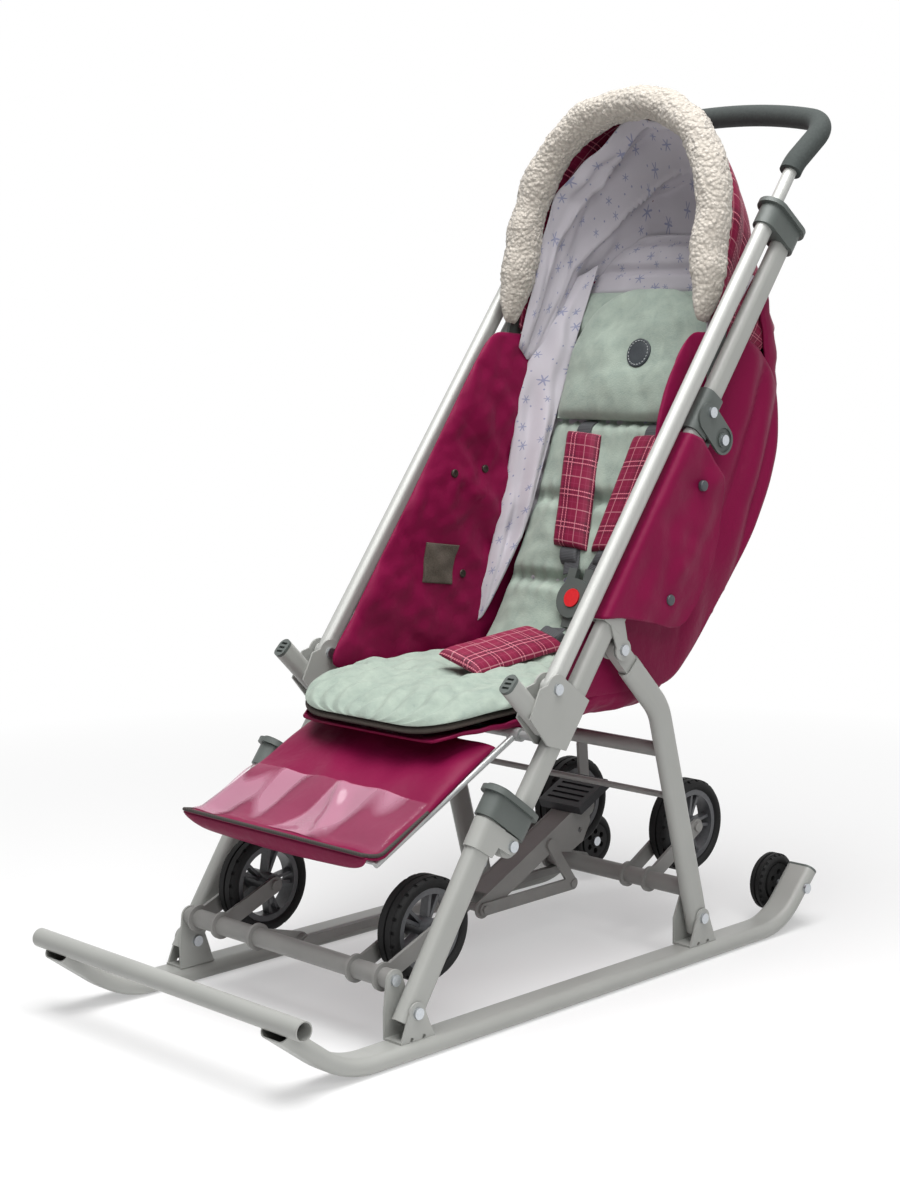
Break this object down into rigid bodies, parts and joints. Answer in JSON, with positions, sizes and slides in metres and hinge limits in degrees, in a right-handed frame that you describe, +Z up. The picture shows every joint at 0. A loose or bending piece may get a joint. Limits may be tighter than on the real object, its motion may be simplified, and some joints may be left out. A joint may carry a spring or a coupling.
{
  "type": "sled stroller",
  "caption": "Push sled stroller on two runners with a folding frame, a reversible push handle, a padded seat with hood and footrest, and pedal-lowered wheels under the frame.",
  "frame": {"origin": "on the ground under the middle of the overall length, on the centre line", "axes": "+Z up, +Y to the rear where the push handle is, +X to the seated child's left"},
  "size_m": [0.468, 0.9792, 1.077],
  "materials": {
    "frame_paint": "satin powder coat",
    "linkage_paint": "satin powder coat",
    "handle_tube": "satin",
    "bolts": "zinc plated",
    "dark_plastic": "moulded",
    "black_plastic": "moulded",
    "red_plastic": "moulded",
    "rim_plastic": "moulded",
    "tyre": "moulded tread",
    "foam": "foam",
    "nylon": "satin weave",
    "velour": "quilted pile",
    "lining": "printed cotton",
    "fleece": "curly pile",
    "plaid": "woven check",
    "webbing": "woven strap",
    "clear_film": "clear film"
  },
  "bodies": {
    "base": {"runner_left": "frame_paint", "runner_right": "frame_paint", "nose_bar": "frame_paint", "runner_caps": "dark_plastic", "leg_brackets": "frame_paint", "base_bolts": "bolts"},
    "front_legs": {"lower_legs": "frame_paint", "knee_clips": "frame_paint", "knee_bolts": "bolts"},
    "rear_legs": {"rear_legs": "frame_paint", "rear_bars": "linkage_paint"},
    "seat_frame": {"uprights": "frame_paint", "hub_plates": "frame_paint", "stop_caps": "dark_plastic", "rear_clips": "frame_paint", "frame_bolts": "bolts", "footrest_bar": "linkage_paint", "hood_brackets": "dark_plastic", "seat_shell": "nylon", "seat_cushion": "velour", "back_panel": "lining", "back_cushion": "velour", "head_pillow": "velour", "side_panels": "nylon", "side_flaps": "nylon", "harness_pads": "plaid", "harness_straps": "webbing", "buckle": "dark_plastic"},
    "leg_lock_left": {"leg_lock_left": "dark_plastic"},
    "leg_lock_right": {"leg_lock_right": "dark_plastic"},
    "handle": {"handle_legs": "handle_tube", "handle_bow": "handle_tube", "handle_grip": "foam"},
    "handle_lock_left": {"handle_lock_left": "dark_plastic"},
    "handle_lock_right": {"handle_lock_right": "dark_plastic"},
    "front_crank": {"front_axle": "linkage_paint", "front_forks": "linkage_paint"},
    "rear_crank": {"rear_axle": "linkage_paint", "rear_forks": "linkage_paint"},
    "pedal_rod": {"connecting_rod": "linkage_paint", "pedal_lever": "linkage_paint", "pedal": "black_plastic"},
    "front_wheel_left": {"front_tyre_left": "tyre", "front_rim_left": "rim_plastic"},
    "front_wheel_right": {"front_tyre_right": "tyre", "front_rim_right": "rim_plastic"},
    "rear_wheel_left": {"rear_tyre_left": "tyre", "rear_rim_left": "rim_plastic"},
    "rear_wheel_right": {"rear_tyre_right": "tyre", "rear_rim_right": "rim_plastic"},
    "transport_wheel_left": {"transport_wheel_left": "black_plastic"},
    "transport_wheel_right": {"transport_wheel_right": "black_plastic"},
    "footrest": {"footrest_frame": "linkage_paint", "footrest_pad": "nylon", "footrest_cover": "clear_film"},
    "hood": {"hood_arms": "dark_plastic", "hood_fleece": "fleece", "hood_canopy": "nylon"},
    "buckle_button": {"buckle_button": "red_plastic"}
  },
  "joints": [
    {"name": "frame_fold", "type": "hinge", "parent": "base", "child": "front_legs", "pos_m": [0, -0.29506, 0.05], "axis": [1, 0, 0], "range_deg": [0, 60.4]},
    {"name": "knee_fold", "type": "hinge", "parent": "front_legs", "child": "seat_frame", "pos_m": [0, -0.14694, 0.2062], "axis": [1, 0, 0], "range_deg": [-95.01, 0], "deforming": ["seat_shell", "seat_cushion", "back_panel", "back_cushion", "head_pillow", "side_panels", "side_flaps", "harness_pads", "harness_straps"]},
    {"name": "rear_leg_fold", "type": "hinge", "parent": "base", "child": "rear_legs", "pos_m": [0, 0.19294, 0.053], "axis": [1, 0, 0], "range_deg": [0, 24.13]},
    {"name": "leg_lock_left_slide", "type": "slide", "parent": "seat_frame", "child": "leg_lock_left", "axis": [0, 0.5948, 0.8039], "range_m": [0, 0.0681]},
    {"name": "leg_lock_right_slide", "type": "slide", "parent": "seat_frame", "child": "leg_lock_right", "axis": [0, 0.5948, 0.8039], "range_m": [0, 0.0681]},
    {"name": "handle_flip", "type": "hinge", "parent": "seat_frame", "child": "handle", "pos_m": [0, -0.07152, 0.37369], "axis": [1, 0, 0], "range_deg": [0, 81.5]},
    {"name": "handle_lock_left_slide", "type": "slide", "parent": "handle", "child": "handle_lock_left", "axis": [0, 0.5948, 0.8039], "range_m": [0, 0.0401]},
    {"name": "handle_lock_right_slide", "type": "slide", "parent": "handle", "child": "handle_lock_right", "axis": [0, 0.5948, 0.8039], "range_m": [0, 0.0401]},
    {"name": "wheel_swing", "type": "hinge", "parent": "base", "child": "rear_crank", "pos_m": [0, 0.19494, 0.086], "axis": [1, 0, 0], "range_deg": [-58, 0]},
    {"name": "front_wheel_swing", "type": "hinge", "parent": "base", "child": "front_crank", "pos_m": [0, -0.30406, 0.083], "axis": [1, 0, 0], "range_deg": [-58.01, 0]},
    {"name": "rod_pin", "type": "hinge", "parent": "rear_crank", "child": "pedal_rod", "pos_m": [0, 0.25869, 0.06892], "axis": [1, 0, 0], "range_deg": [0, 58.01]},
    {"name": "footrest_tilt", "type": "hinge", "parent": "seat_frame", "child": "footrest", "pos_m": [0, -0.08195, 0.31672], "axis": [1, 0, 0], "range_deg": [-29, 12]},
    {"name": "hood_fold", "type": "hinge", "parent": "seat_frame", "child": "hood", "pos_m": [0, 0.22322, 0.64138], "axis": [1, 0, 0], "range_deg": [-20, 40], "deforming": ["hood_canopy"]},
    {"name": "front_left_spin", "type": "hinge", "parent": "front_crank", "child": "front_wheel_left", "pos_m": [0.14, -0.22246, 0.11596], "axis": [1, 0, 0], "continuous": true},
    {"name": "front_right_spin", "type": "hinge", "parent": "front_crank", "child": "front_wheel_right", "pos_m": [-0.14, -0.22246, 0.11596], "axis": [1, 0, 0], "continuous": true},
    {"name": "rear_left_spin", "type": "hinge", "parent": "rear_crank", "child": "rear_wheel_left", "pos_m": [0.1, 0.28765, 0.13739], "axis": [1, 0, 0], "continuous": true},
    {"name": "rear_right_spin", "type": "hinge", "parent": "rear_crank", "child": "rear_wheel_right", "pos_m": [-0.1, 0.28765, 0.13739], "axis": [1, 0, 0], "continuous": true},
    {"name": "transport_left_spin", "type": "hinge", "parent": "base", "child": "transport_wheel_left", "pos_m": [0.16, 0.39437, 0.05243], "axis": [1, 0, 0], "continuous": true},
    {"name": "transport_right_spin", "type": "hinge", "parent": "base", "child": "transport_wheel_right", "pos_m": [-0.16, 0.39437, 0.05243], "axis": [1, 0, 0], "continuous": true},
    {"name": "button_press", "type": "slide", "parent": "seat_frame", "child": "buckle_button", "axis": [0, 0.9336, -0.3584], "range_m": [0, 0.0022], "stiffness_N_per_m": 400}
  ],
  "couplings": [
    {"joint": "knee_fold", "follows": "frame_fold", "ratio": -1.5728},
    {"joint": "rear_leg_fold", "follows": "frame_fold", "ratio": 0.39934},
    {"joint": "leg_lock_left_slide", "follows": "frame_fold", "m_per_rad": 0.064505},
    {"joint": "leg_lock_right_slide", "follows": "frame_fold", "m_per_rad": 0.064505},
    {"joint": "handle_lock_left_slide", "follows": "handle_flip", "m_per_rad": 0.028121},
    {"joint": "handle_lock_right_slide", "follows": "handle_flip", "m_per_rad": 0.028121},
    {"joint": "front_wheel_swing", "follows": "wheel_swing", "ratio": 1},
    {"joint": "rod_pin", "follows": "wheel_swing", "ratio": -1}
  ]
}
